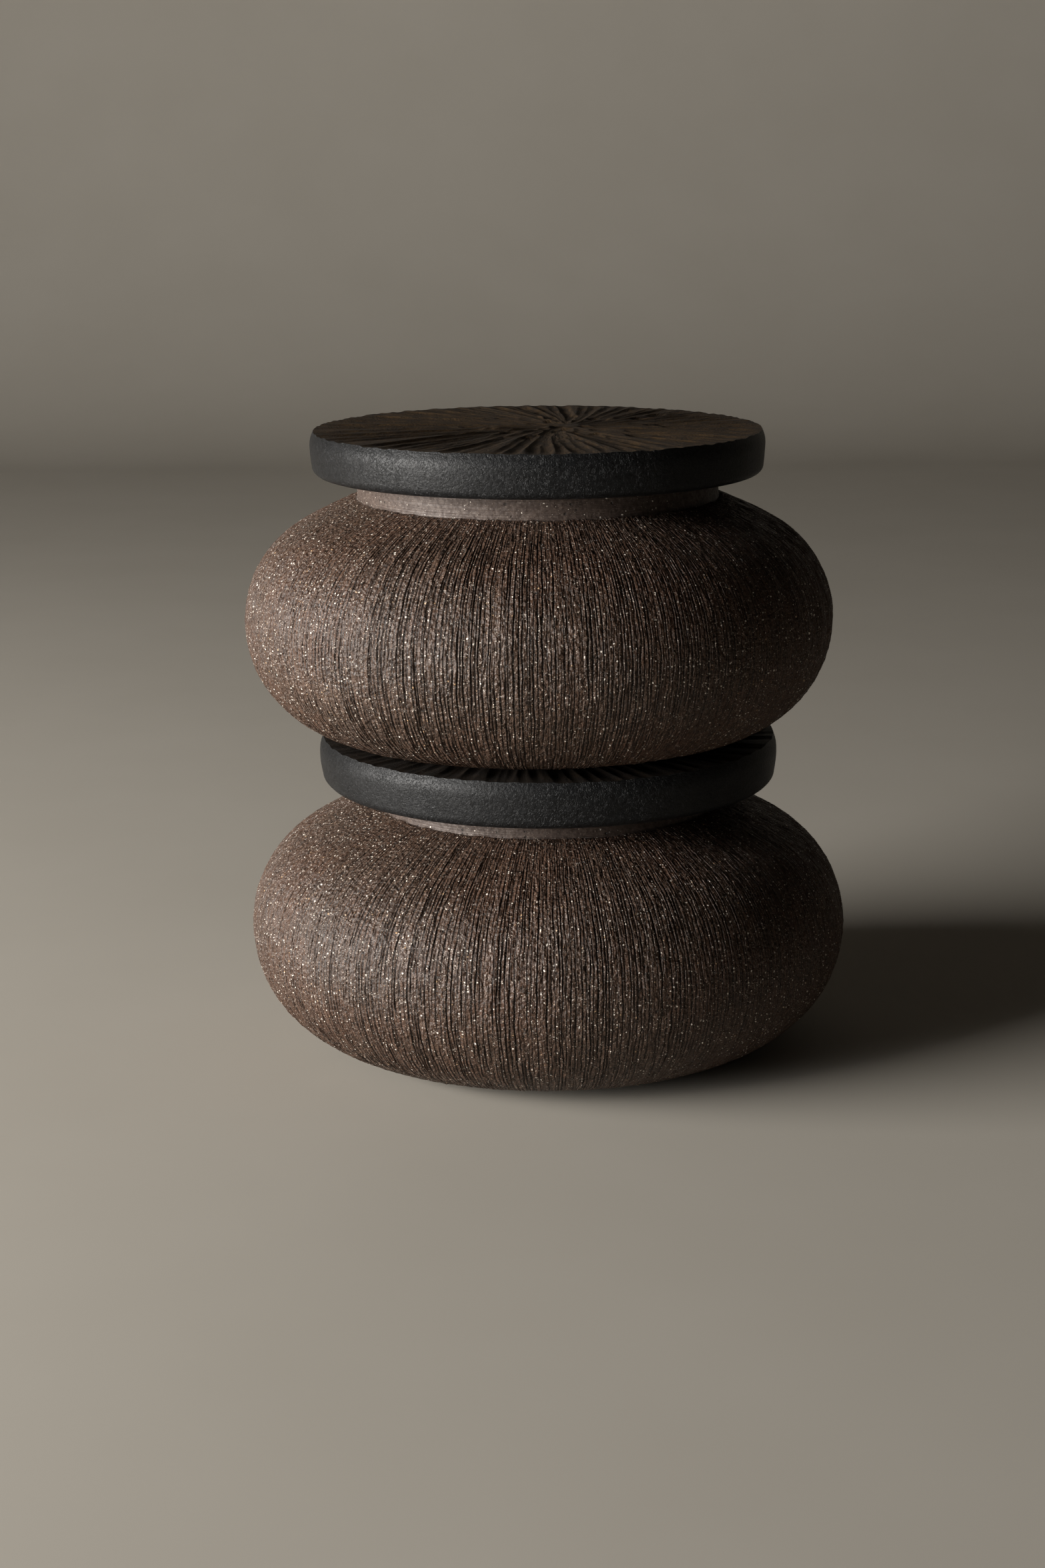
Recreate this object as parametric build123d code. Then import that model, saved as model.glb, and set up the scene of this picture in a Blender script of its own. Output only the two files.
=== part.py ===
from build123d import *
import math
import os

# A stacked pair of lidded bowls for go stones, one bowl for each colour of stone.
# Every piece is turned about an upright axis. The lower bowl stands at the origin, +Z up,
# and the upper bowl stands on the lower bowl's lid, a little off centre.

# ---------------------------------------------------------------- driving dimensions, mm
LOWER_DIAMETER = 165.0          # widest part of the lower bowl
UPPER_DIAMETER = 160.0          # hand thrown, so the upper bowl is a little smaller
UPPER_OFFSET = -2.2             # how far the upper bowl stands off the lower one's axis, in X

# The profile of a bowl of REFERENCE_DIAMETER. Other bowls are the same shape, scaled.
REFERENCE_DIAMETER = 160.0
UNDERSIDE_RADIUS = 30.8         # arc from the widest part down to the foot
BELLY_RADIUS = 29.8             # arc from the widest part up to the shoulder
BELLY_ANGLE = 60.0              # degrees turned by the belly arc
SHOULDER_RADIUS = 97.0          # flatter arc from the belly up to the collar
FOOT_OUTER_RADIUS = 46.0
FOOT_INNER_RADIUS = 40.0

# Sizes that don't grow with the bowl.
WALL = 5.0                      # body wall and floor
COLLAR_WALL = 4.5
FOOT_HEIGHT = 1.3               # how far the turned foot ring stands below the body
FOOT_RECESS = 1.8               # how far the base is hollowed inside the foot ring
LIP_ROUND = 1.2                 # rounding of the mouth's inner and outer edge
LOWER_COLLAR_RADIUS = 47.7      # outside of the smooth collar
UPPER_COLLAR_RADIUS = 48.8
LOWER_COLLAR_HEIGHT = 5.8       # from the shoulder's end to the lip
UPPER_COLLAR_HEIGHT = 6.2

LOWER_LID_RADIUS = 63.0
UPPER_LID_RADIUS = 61.35
LOWER_LID_THICKNESS = 12.5
UPPER_LID_THICKNESS = 11.6
LOWER_LID_OFFSET = 0.3          # the lower lid's play lets it sit a little off centre, in X
LID_EDGE_ROUND = 2.2            # rounding under the lid's rim
LID_TAPER = 1.0                 # how far the side leans in at the top edge
SPIGOT_CLEARANCE = 0.6          # radial play of the locating rim in the mouth
SPIGOT_DEPTH = 4.5              # how far the locating rim reaches into the mouth
SPIGOT_WALL = 5.0

os.makedirs("parts", exist_ok=True)


def revolved(edges):
    """Turns a closed outline in the XZ plane about the Z axis."""
    with BuildPart() as turned:
        with BuildSketch(Plane.XZ):
            with BuildLine():
                for edge in edges:
                    add(edge)
            make_face()
        revolve(axis=Axis.Z)
    return turned.part


def arc_angle(centre, radius, reach):
    """The angle at which an arc about centre is at distance reach from the axis."""
    return math.degrees(math.acos((reach - centre.X) / radius))


def arc(centre, radius, start, end):
    """The arc about centre between two angles, in degrees."""
    return CenterArc(centre, radius, start, end - start)


class BowlProfile:
    """The heights, radii and arc centres of one bowl, measured from its own foot."""

    def __init__(self, diameter, collar_radius, collar_height):
        scale = diameter / REFERENCE_DIAMETER
        self.underside = UNDERSIDE_RADIUS * scale
        self.belly = BELLY_RADIUS * scale
        self.shoulder = SHOULDER_RADIUS * scale
        self.collar = collar_radius
        self.mouth = self.collar - COLLAR_WALL
        self.foot_outer = FOOT_OUTER_RADIUS * scale
        self.foot_inner = FOOT_INNER_RADIUS * scale
        widest = FOOT_HEIGHT + self.underside
        self.underside_centre = Vector(diameter / 2 - self.underside, widest)
        self.belly_centre = Vector(diameter / 2 - self.belly, widest)
        along = math.radians(BELLY_ANGLE)
        change = self.belly - self.shoulder
        self.shoulder_centre = self.belly_centre + Vector(math.cos(along), math.sin(along)) * change
        self.shoulder_end = arc_angle(self.shoulder_centre, self.shoulder, self.collar)
        self.neck = self.shoulder_centre.Y + self.shoulder * math.sin(math.radians(self.shoulder_end))
        self.lip = self.neck + collar_height


def bowl(profile):
    """A thick-walled round bowl with a turned foot ring and a short smooth collar."""
    p = profile
    floor = FOOT_HEIGHT + WALL
    inner_end = arc_angle(p.shoulder_centre, p.shoulder - WALL, p.mouth)
    inner_neck = p.shoulder_centre.Y + (p.shoulder - WALL) * math.sin(math.radians(inner_end))
    lip_base = p.lip - LIP_ROUND
    outside = [
        Line((p.foot_outer, 0), (p.foot_outer, FOOT_HEIGHT)),
        Line((p.foot_outer, FOOT_HEIGHT), (p.underside_centre.X, FOOT_HEIGHT)),
        arc(p.underside_centre, p.underside, -90, 0),
        arc(p.belly_centre, p.belly, 0, BELLY_ANGLE),
        arc(p.shoulder_centre, p.shoulder, BELLY_ANGLE, p.shoulder_end),
        Line((p.collar, p.neck), (p.collar, lip_base)),
    ]
    mouth = [
        arc(Vector(p.collar - LIP_ROUND, lip_base), LIP_ROUND, 0, 90),
        Line((p.collar - LIP_ROUND, p.lip), (p.mouth + LIP_ROUND, p.lip)),
        arc(Vector(p.mouth + LIP_ROUND, lip_base), LIP_ROUND, 90, 180),
        Line((p.mouth, lip_base), (p.mouth, inner_neck)),
    ]
    inside = [
        arc(p.shoulder_centre, p.shoulder - WALL, BELLY_ANGLE, inner_end),
        arc(p.belly_centre, p.belly - WALL, 0, BELLY_ANGLE),
        arc(p.underside_centre, p.underside - WALL, -90, 0),
        Line((p.underside_centre.X, floor), (0, floor)),
    ]
    base = [
        Line((0, floor), (0, FOOT_RECESS)),
        Line((0, FOOT_RECESS), (p.foot_inner, FOOT_RECESS)),
        Line((p.foot_inner, FOOT_RECESS), (p.foot_inner, 0)),
        Line((p.foot_inner, 0), (p.foot_outer, 0)),
    ]
    return revolved(outside + mouth + inside + base)


def lid(radius, thickness, mouth):
    """A thick disc with a rounded lower edge, and a locating rim that drops into the mouth."""
    spigot_outer = mouth - SPIGOT_CLEARANCE
    spigot_inner = spigot_outer - SPIGOT_WALL
    disc = [
        Line((spigot_outer, 0), (radius - LID_EDGE_ROUND, 0)),
        arc(Vector(radius - LID_EDGE_ROUND, LID_EDGE_ROUND), LID_EDGE_ROUND, -90, 0),
        TangentArc((radius, LID_EDGE_ROUND), (radius - LID_TAPER, thickness), tangent=(0, 1)),
        Line((radius - LID_TAPER, thickness), (0, thickness)),
        Line((0, thickness), (0, 0)),
    ]
    spigot = [
        Line((0, 0), (spigot_inner, 0)),
        Line((spigot_inner, 0), (spigot_inner, -SPIGOT_DEPTH)),
        Line((spigot_inner, -SPIGOT_DEPTH), (spigot_outer, -SPIGOT_DEPTH)),
        Line((spigot_outer, -SPIGOT_DEPTH), (spigot_outer, 0)),
    ]
    return revolved(disc + spigot)


lower = BowlProfile(LOWER_DIAMETER, LOWER_COLLAR_RADIUS, LOWER_COLLAR_HEIGHT)
upper = BowlProfile(UPPER_DIAMETER, UPPER_COLLAR_RADIUS, UPPER_COLLAR_HEIGHT)
upper_base = lower.lip + LOWER_LID_THICKNESS

lower_lid = lid(LOWER_LID_RADIUS, LOWER_LID_THICKNESS, lower.mouth)
upper_lid = lid(UPPER_LID_RADIUS, UPPER_LID_THICKNESS, upper.mouth)

pieces = {
    "lower_bowl": bowl(lower),
    "lower_lid": Pos(LOWER_LID_OFFSET, 0, lower.lip) * lower_lid,
    "upper_bowl": Pos(UPPER_OFFSET, 0, upper_base) * bowl(upper),
    "upper_lid": Pos(UPPER_OFFSET, 0, upper_base + upper.lip) * upper_lid,
}

for name, piece in pieces.items():
    export_step(piece, f"parts/{name}.step")

print(f"lower lip {lower.lip:.3f}, upper base {upper_base:.3f}, upper lip {upper_base + upper.lip:.3f}")
print(f"total height {upper_base + upper.lip + UPPER_LID_THICKNESS:.3f}")
print(f"mouth radii {lower.mouth:.3f} and {upper.mouth:.3f}")
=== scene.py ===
import math

import bpy
import numpy as np
from mathutils import Euler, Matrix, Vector


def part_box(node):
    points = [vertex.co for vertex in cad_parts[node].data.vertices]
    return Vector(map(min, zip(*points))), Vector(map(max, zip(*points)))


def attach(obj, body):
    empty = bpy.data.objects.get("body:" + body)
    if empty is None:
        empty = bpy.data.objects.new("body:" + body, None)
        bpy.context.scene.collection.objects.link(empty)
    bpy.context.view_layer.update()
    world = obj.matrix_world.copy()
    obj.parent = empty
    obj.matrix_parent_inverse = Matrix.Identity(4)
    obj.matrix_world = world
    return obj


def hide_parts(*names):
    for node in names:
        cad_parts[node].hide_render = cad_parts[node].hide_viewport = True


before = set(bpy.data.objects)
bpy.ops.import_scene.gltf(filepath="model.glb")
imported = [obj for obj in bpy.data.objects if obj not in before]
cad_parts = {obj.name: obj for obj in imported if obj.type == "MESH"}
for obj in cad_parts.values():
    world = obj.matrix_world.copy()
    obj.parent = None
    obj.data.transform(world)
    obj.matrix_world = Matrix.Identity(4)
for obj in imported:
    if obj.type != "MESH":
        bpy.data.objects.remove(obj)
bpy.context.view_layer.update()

# Two lidded stoneware bowls for go stones, one standing on the other. The mesh code works in
# millimetres about each piece's own upright axis and turns them into metres at the end.
MM = 0.001
SEED = 361
TURN = 2 * math.pi

# ------------------------------------------------------------------ shape of a bowl, mm
# The same profile as the solids: three arcs about a bowl of REFERENCE_DIAMETER, scaled.
REFERENCE_DIAMETER = 160.0
UNDERSIDE_RADIUS = 30.8
BELLY_RADIUS = 29.8
BELLY_ANGLE = math.radians(60.0)
SHOULDER_RADIUS = 97.0
COLLAR_RADIUS = {"lower_bowl": 47.7, "upper_bowl": 48.8}
FOOT_OUTER_RADIUS = 46.0
FOOT_INNER_RADIUS = 40.0
WALL = 5.0
COLLAR_WALL = 4.5
FOOT_HEIGHT = 1.3
FOOT_RECESS = 1.8
LIP_ROUND = 1.2
NECK_FILLET = 0.7               # hollow curve where the collar meets the shoulder
CENTRE_HOLE = 4.0               # radius of the face that closes a floor in the middle

# ------------------------------------------------------------------ combed skin, mm
GROOVES = 480                   # upright grooves round each bowl
GROOVE_COLUMNS = 3              # its two edges and its bottom
GROOVE_WIDTH = 0.62             # at the widest part of the bowl
GROOVE_DEPTH = 0.46
WEAK_SHARE = 0.13               # share of the grooves that are only scratched
SHALLOW_TOP = 26.0              # the grooves get deeper over this distance below the collar
SHALLOW_CUT = 0.62              # and this is how deep they are at the collar, as a share
DEEP_FROM, DEEP_TO = 48.0, 74.0 # and deeper again where the comb turned under the bowl
DEEP_GAIN = 0.40
CRUMBLE = 0.050                 # roughness of the grooves' edges and beds
CRUMBLE_GAIN = 0.6              # how much rougher they are under the bowl
SKIN_STEP = 0.38                # how far the combed skin stands proud of the smooth collar
SKIN_WANDER = 0.45              # unevenness of the line where the combed skin begins
SKIN_FRAY = 0.16
WOBBLE, DIMPLE = 0.22, 0.10     # hand-thrown unevenness of the body, broad and narrow
START_ROWS = (0.0, 0.5, 0.9, 1.2, 1.5, 1.8, 2.2, 2.8, 3.6, 4.8)     # dense where the skin begins
ROW_STEP = 2.3
FLOW_ALONG = 0.2                # how much the clay's streaks are drawn out along the grooves

# ------------------------------------------------------------------ lids, mm
LID_EDGE_ROUND = 2.4
LID_TOP_INSET = 1.1             # the rim leans in by this much at the top edge
LID_WAIST_INSET = 0.5           # and by this much just above the lower corner
LID_BULGE_DROP = 3.7            # the side is widest this far below the top
SPIGOT_CLEARANCE = 0.6
SPIGOT_DEPTH = 4.5
SPIGOT_WALL = 5.0
SPIGOT_SOFT = 0.5               # softening of the locating rim's edges
STROKES = 110                   # long gouges from the middle of a lid over its rim
SHORT_STROKES = 70
STROKE_END = 200.0              # beyond every rim
LID_REACH = 75.0                # the gouges' drift and chatter are laid out over this distance
SWIRL, SWIRL_REACH = 0.30, 22.0 # the gouges turn by this angle over about this distance
UNCARVED = -0.10                # level of the skin that no gouge touches
LIFT_OFF = 1.6                  # how far above the lid a gouge comes in and goes out
CHATTER, CHATTER_KNOTS = 0.07, 14
DRIFT_KNOTS = 9
RIM_CALM = 0.60                 # how much the gouges flatten out where they cross the rim
RIM_CALM_WIDTH = 9.0
RIM_CHAMFER = 0.35              # a last ring this far inside the rim keeps its edge crisp
RIM_COLUMNS = 960
GRAIN_AROUND = 26.0             # the lid's streaks are fine across the gouges
GRAIN_ALONG = 0.16              # and drawn out along them
# Rings of the top: from radius, to radius (None is the rim), step, and one column kept of so many.
LID_BANDS = ((1.2, 3.6, 0.6, 16), (3.6, 10.0, 0.5, 4), (10.0, 22.0, 0.55, 2), (22.0, None, 0.85, 1))

# ------------------------------------------------------------------ places in the UV map
COMBED_UV = (0.0, 0.0, 1.0, 0.81)
COLLAR_UV = (0.0, 0.82, 1.0, 0.89)
INSIDE_UV = (0.0, 0.90, 1.0, 0.965)
FOOT_UV = (0.0, 0.97, 1.0, 0.985)
BOWL_STRIPS_V = 0.986           # where the strips between a bowl's sheets start
LID_TOP_UV = (0.0, 0.0, 0.72, 0.72)
LID_SIDE_UV = (0.0, 0.74, 1.0, 0.92)
LID_UNDER_UV = (0.0, 0.93, 1.0, 0.98)
LID_STRIPS_V = 0.982
STRIP_PITCH, STRIP_HEIGHT = 0.003, 0.002
CAP_UV = (0.995, 0.995)


# ================================================================== small helpers

def smoothstep(low, high, value):
    t = np.clip((value - low) / (high - low), 0.0, 1.0)
    return t * t * (3.0 - 2.0 * t)


def smooth_lines(rng, count, knots, at):
    """count independent smooth random lines with values from -1 to 1, read at positions 0 to 1."""
    values = rng.uniform(-1.0, 1.0, (knots + 1, count))
    place = np.clip(np.asarray(at), 0.0, 1.0) * knots
    below = np.minimum(place.astype(int), knots - 1)
    t = smoothstep(0.0, 1.0, place - below)[:, None]
    return values[below] * (1.0 - t) + values[below + 1] * t


def smooth_round(rng, cells, knots, angles, at):
    """A smooth random field round a full turn: rows at positions 0 to 1, columns at angles."""
    values = rng.uniform(-1.0, 1.0, (knots + 1, cells))
    place = np.asarray(at) * knots
    row = np.minimum(place.astype(int), knots - 1)
    down = smoothstep(0.0, 1.0, place - row)[:, None]
    across = (np.asarray(angles) / TURN % 1.0) * cells
    col = across.astype(int) % cells
    side = smoothstep(0.0, 1.0, across - np.floor(across))
    after = (col + 1) % cells
    top = values[row][:, col] * (1.0 - side) + values[row][:, after] * side
    low = values[row + 1][:, col] * (1.0 - side) + values[row + 1][:, after] * side
    return top * (1.0 - down) + low * down


class Sheet:
    """A grid of points, rings by columns, closed round the turn, with its own place in the UV map."""

    def __init__(self, points, rect, bands=1, planar=None, creases=None, rim=False, **attributes):
        self.points = points
        self.rect = rect
        self.bands = bands              # the turn is cut into so many bands in the UV map
        self.planar = planar            # or seen from above, out to this radius
        self.creases = creases          # columns that are crisp edges, as a repeating pattern
        self.rim = rim                  # the first ring is a crisp edge
        self.attributes = attributes
        self.rings, self.columns = points.shape[:2]


def lathe(radii, heights, angles):
    """Points of rings at radii and heights; angles is one row for all rings or one per ring."""
    radii = np.asarray(radii, float)
    heights = np.asarray(heights, float)
    if radii.ndim == 1:
        radii = np.repeat(radii[:, None], np.shape(angles)[-1], axis=1)
    if heights.ndim == 1:
        heights = np.repeat(heights[:, None], radii.shape[1], axis=1)
    angles = np.broadcast_to(angles, radii.shape)
    return np.stack([radii * np.cos(angles), radii * np.sin(angles), heights], axis=-1)


def arc_path(centre, radius, start, end, step):
    """Points and outward normals along an arc, as rows of r, z, normal r, normal z."""
    count = max(2, int(math.ceil(abs(end - start) * radius / step)) + 1)
    a = np.linspace(start, end, count)
    return np.stack([centre[0] + radius * np.cos(a), centre[1] + radius * np.sin(a),
                     np.cos(a), np.sin(a)], axis=1)


def joined(paths):
    """One path from several; where two meet the shared point is kept once."""
    return np.concatenate([paths[0]] + [path[1:] for path in paths[1:]])


def path_length(path):
    steps = np.hypot(*np.diff(path[:, :2], axis=0).T)
    return np.concatenate([[0.0], np.cumsum(steps)])


def resampled(path, at):
    length = path_length(path)
    return np.stack([np.interp(at, length, path[:, k]) for k in range(4)], axis=1)


# ================================================================== from sheets to a mesh

def band_uv(rect, bands, columns, rows, column, row):
    """UV of a grid point; the turn is cut into bands that lie one above the other in rect."""
    u0, v0, u1, v1 = rect
    per_band = columns / bands
    band = np.minimum(np.floor(column.min(axis=1, keepdims=True) / per_band), bands - 1)
    height = (v1 - v0) / bands
    gap = height * 0.02 if bands > 1 else 0.0
    u = u0 + (u1 - u0) * (column - band * per_band) / per_band
    v = v0 + height * band + (height - gap) * row / max(rows - 1, 1)
    return np.stack([u, v], axis=-1)


def planar_uv(rect, extent, xy):
    """UV of points seen from above; extent is the radius that fills rect."""
    u0, v0, u1, v1 = rect
    return np.stack([u0 + (u1 - u0) * (xy[..., 0] / extent + 1.0) / 2.0,
                     v0 + (v1 - v0) * (xy[..., 1] / extent + 1.0) / 2.0], axis=-1)


def grid_faces(sheet, start, points):
    """The quads of one sheet and the UV of their corners."""
    row, col = np.meshgrid(np.arange(sheet.rings - 1), np.arange(sheet.columns), indexing="ij")
    row, col = row.ravel(), col.ravel()
    here = start + row * sheet.columns
    there = here + sheet.columns
    after = (col + 1) % sheet.columns
    quad = np.stack([here + col, here + after, there + after, there + col], axis=1)
    if sheet.planar:
        return quad, planar_uv(sheet.rect, sheet.planar, points[quad][..., :2])
    columns_of = np.stack([col, col + 1, col + 1, col], axis=1)
    rows_of = np.stack([row, row, row + 1, row + 1], axis=1)
    return quad, band_uv(sheet.rect, sheet.bands, sheet.columns, sheet.rings, columns_of, rows_of)


def strip_faces(first, second, end_ring, next_ring, points, strip_v):
    """Faces from the last ring of one sheet to the first ring of the next, and their UV.

    One ring may have more columns than the other, by a whole factor."""
    ratio = max(first.columns, second.columns) // min(first.columns, second.columns)
    coarse = np.arange(min(first.columns, second.columns))
    fine = coarse[:, None] * ratio + np.arange(ratio + 1)
    if first.columns < second.columns:
        near, far = np.stack([coarse, coarse + 1], axis=1), fine[:, ::-1]
        columns_of = np.concatenate([near * ratio, far], axis=1)
    else:
        near, far = fine, np.stack([coarse + 1, coarse], axis=1)
        columns_of = np.concatenate([near, far * ratio], axis=1)
    face = np.concatenate([end_ring + near % first.columns, next_ring + far % second.columns], axis=1)
    if first.planar and second.planar:
        return face, planar_uv(first.rect, first.planar, points[face][..., :2])
    rows_of = np.zeros(face.shape)
    rows_of[:, near.shape[1]:] = 1.0
    rect = (0.0, strip_v, 1.0, strip_v + STRIP_HEIGHT)
    return face, band_uv(rect, 1, max(first.columns, second.columns), 2, columns_of, rows_of)


def end_faces(sheets, starts, points):
    """The two faces that close the first ring and the last ring, and their UV."""
    first, last = sheets[0], sheets[-1]
    opening = starts[0] + np.arange(first.columns)[::-1]
    closing = starts[-1] - last.columns + np.arange(last.columns)
    opening_uv = np.tile(CAP_UV, (len(opening), 1))
    if first.planar:
        opening_uv = planar_uv(first.rect, first.planar, points[opening][:, :2])
    closing_uv = np.tile(CAP_UV, (len(closing), 1))
    return [opening, closing], [opening_uv, closing_uv]


def mark_creases(mesh, sheets, starts):
    """Edges along crease columns and crisp rings are shaded sharp."""
    column_of = np.full(starts[-1], -1)
    ring_of = np.full(starts[-1], -1)
    for sheet, start in zip(sheets, starts):
        place = slice(start, start + sheet.rings * sheet.columns)
        if sheet.creases:
            number = np.arange(sheet.columns)
            wanted = np.isin(number % len(sheet.creases), np.flatnonzero(sheet.creases))
            column_of[place] = np.tile(np.where(wanted, number, -1), sheet.rings)
        if sheet.rim:
            ring_of[start:start + sheet.columns] = start
    ends = np.empty(len(mesh.edges) * 2, np.int32)
    mesh.edges.foreach_get("vertices", ends)
    ends = ends.reshape(-1, 2)
    sharp = np.zeros(len(ends), bool)
    for mark in (column_of, ring_of):
        sharp |= (mark[ends[:, 0]] >= 0) & (mark[ends[:, 0]] == mark[ends[:, 1]])
    if sharp.any():
        mesh.attributes.new("sharp_edge", "BOOLEAN", "EDGE").data.foreach_set("value", sharp)


def write_attributes(mesh, sheets):
    """Every sheet's numbers and vectors, as point attributes for the materials."""
    for key in sheets[0].attributes:
        rows = [s.attributes[key].reshape(s.rings * s.columns, -1) for s in sheets]
        values = np.concatenate(rows).astype(np.float32)
        vector = values.shape[1] == 3
        attribute = mesh.attributes.new(key, "FLOAT_VECTOR" if vector else "FLOAT", "POINT")
        attribute.data.foreach_set("vector" if vector else "value", values.ravel())


def build_mesh(name, sheets, strips_v, centre, floor_z):
    """Joins sheets into one closed skin.

    They follow each other from the middle of the upper side, over the edge, to the middle below."""
    starts = np.cumsum([0] + [s.rings * s.columns for s in sheets])
    points = np.concatenate([s.points.reshape(-1, 3) for s in sheets])
    parts = [grid_faces(sheet, start, points) for sheet, start in zip(sheets, starts)]
    for k, (first, second) in enumerate(zip(sheets, sheets[1:])):
        next_ring = starts[k + 1]
        end_ring = next_ring - first.columns
        parts.append(strip_faces(first, second, end_ring, next_ring, points, strips_v + STRIP_PITCH * k))
    caps, caps_uv = end_faces(sheets, starts, points)
    loops = np.concatenate([face.ravel() for face, _ in parts] + caps)
    sizes = [np.full(len(face), face.shape[1]) for face, _ in parts] + [[len(cap)] for cap in caps]
    sizes = np.concatenate(sizes)
    loop_uv = np.concatenate([uv.reshape(-1, 2) for _, uv in parts] + caps_uv)

    mesh = bpy.data.meshes.new(name)
    place = points * MM + np.array([centre[0], centre[1], floor_z])
    mesh.vertices.add(len(place))
    mesh.vertices.foreach_set("co", place.ravel())
    mesh.loops.add(len(loops))
    mesh.loops.foreach_set("vertex_index", loops.astype(np.int32))
    mesh.polygons.add(len(sizes))
    loop_starts = np.concatenate([[0], np.cumsum(sizes)[:-1]])
    mesh.polygons.foreach_set("loop_start", loop_starts.astype(np.int32))
    mesh.polygons.foreach_set("use_smooth", np.ones(len(sizes), bool))
    mesh.update(calc_edges=True)
    mesh.uv_layers.new(name="OFBake").data.foreach_set("uv", loop_uv.astype(np.float32).ravel())
    write_attributes(mesh, sheets)
    mark_creases(mesh, sheets, starts)
    mesh.validate()
    thing = bpy.data.objects.new(name, mesh)
    bpy.context.scene.collection.objects.link(thing)
    return thing


# ================================================================== bowls

class Bowl:
    """Arc centres and heights of one bowl, from its widest diameter and its height."""

    def __init__(self, diameter, collar, height):
        scale = diameter / REFERENCE_DIAMETER
        self.diameter = diameter
        self.lip = height
        self.underside = UNDERSIDE_RADIUS * scale
        self.belly = BELLY_RADIUS * scale
        self.shoulder = SHOULDER_RADIUS * scale
        self.collar = collar
        self.mouth = self.collar - COLLAR_WALL
        self.foot_outer = FOOT_OUTER_RADIUS * scale
        self.foot_inner = FOOT_INNER_RADIUS * scale
        widest = FOOT_HEIGHT + self.underside
        self.under_c = np.array([diameter / 2 - self.underside, widest])
        self.belly_c = np.array([diameter / 2 - self.belly, widest])
        lean = np.array([math.cos(BELLY_ANGLE), math.sin(BELLY_ANGLE)])
        self.shoulder_c = self.belly_c + lean * (self.belly - self.shoulder)

    def shoulder_angle(self, radius, reach):
        return math.acos((reach - self.shoulder_c[0]) / radius)

    def outside(self):
        """The top of the fillet under the collar, the fillet, and the path on down to the foot."""
        step = 0.5
        reach = self.collar + NECK_FILLET
        turn = self.shoulder_angle(self.shoulder + NECK_FILLET, reach)
        fillet_c = (reach, self.shoulder_c[1] + (self.shoulder + NECK_FILLET) * math.sin(turn))
        hollow = arc_path(fillet_c, NECK_FILLET, math.pi, math.pi + turn, step)
        body = joined([arc_path(self.shoulder_c, self.shoulder, turn, BELLY_ANGLE, step),
                       arc_path(self.belly_c, self.belly, BELLY_ANGLE, 0.0, step),
                       arc_path(self.under_c, self.underside, 0.0, -math.pi / 2, step)])
        return fillet_c[1], hollow, body


def groove_angles(rng, bowl, share, rows):
    """The angle of every groove on every row, unevenly spaced, with the comb's and its own wander."""
    gap = rng.uniform(0.70, 1.30, GROOVES)
    gap *= TURN / gap.sum()
    middle = np.cumsum(gap)
    comb = smooth_round(rng, 46, 5, middle, share) * 0.22
    teeth = smooth_round(rng, 170, 12, middle, share) * 0.15
    own = smooth_lines(rng, GROOVES, 26, share) * 0.16 + rng.normal(0.0, 0.05, (rows, GROOVES))
    lean = smooth_round(rng, 9, 2, middle, share) * 0.8
    return middle, middle[None, :] + (comb + teeth + own + lean) / (bowl.diameter / 2.0)


def groove_cuts(rng, share, at, low_down):
    """How firmly the comb cut every groove on every row, about 1 for a full groove."""
    weak = rng.random(GROOVES) < WEAK_SHARE
    strength = np.where(weak, rng.uniform(0.35, 0.65, GROOVES), rng.uniform(0.75, 1.15, GROOVES))
    along = 0.82 + 0.40 * smooth_lines(rng, GROOVES, 8, share) + 0.16 * smooth_lines(rng, GROOVES, 26, share)
    fades = smooth_lines(rng, GROOVES, 5, share)
    along *= np.where(weak[None, :], smoothstep(-0.55, -0.1, fades), smoothstep(-0.97, -0.75, fades))
    breaks = smoothstep(-0.80, -0.30, smooth_lines(rng, GROOVES, 30, share))
    along *= 1.0 - (1.0 - breaks) * (0.25 + 0.55 * low_down)
    cut = np.clip(strength[None, :] * along, 0.03, 1.25)
    return cut * (SHALLOW_CUT + (1.0 - SHALLOW_CUT) * smoothstep(0.0, SHALLOW_TOP, at)[:, None])


def groove_field(rng, bowl, path, at):
    """Angles, inward depth and painted groove shade of every groove column on the rows of path."""
    rows = len(at)
    share = at / at[-1]
    low_down = smoothstep(DEEP_FROM, DEEP_TO, at)[:, None]
    middle, angle = groove_angles(rng, bowl, share, rows)
    ahead = np.diff(np.concatenate([angle, angle[:, :1] + TURN], axis=1), axis=1)
    behind = np.roll(ahead, 1, axis=1)
    room = np.minimum(ahead, behind) * path[:, :1]
    cut = groove_cuts(rng, share, at, low_down)
    narrow = path[:, :1] / (bowl.diameter / 2.0)
    half = GROOVE_WIDTH / 2.0 * narrow * (0.55 + 0.5 * cut) * rng.uniform(0.75, 1.25, (rows, GROOVES))
    half = np.minimum(half, 0.40 * room) / path[:, :1]
    skew = smooth_lines(rng, GROOVES, 6, share) * 0.35
    columns = np.empty((rows, GROOVES * GROOVE_COLUMNS))
    left, bottom, right = (slice(k, None, GROOVE_COLUMNS) for k in range(GROOVE_COLUMNS))
    columns[:, left] = angle - half
    columns[:, bottom] = angle + half * skew
    columns[:, right] = angle + half
    sink = rng.normal(0.0, CRUMBLE, columns.shape) * (1.0 + CRUMBLE_GAIN * low_down)
    burr = smooth_round(rng, 300, 20, middle, share) * 0.04
    sink[:, left] -= burr + 0.02 * cut
    sink[:, right] -= burr + 0.035 * cut
    sink[:, bottom] += GROOVE_DEPTH * narrow * cut * (1.0 + DEEP_GAIN * low_down)
    # painted shade: the groove beds get a darkness for the colour, standing in for the shadow inside the
    # grooves
    groove_shade = np.zeros_like(sink)
    groove_shade[:, bottom] = np.clip(cut, 0.0, 1.0)
    return columns, sink, groove_shade


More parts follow.
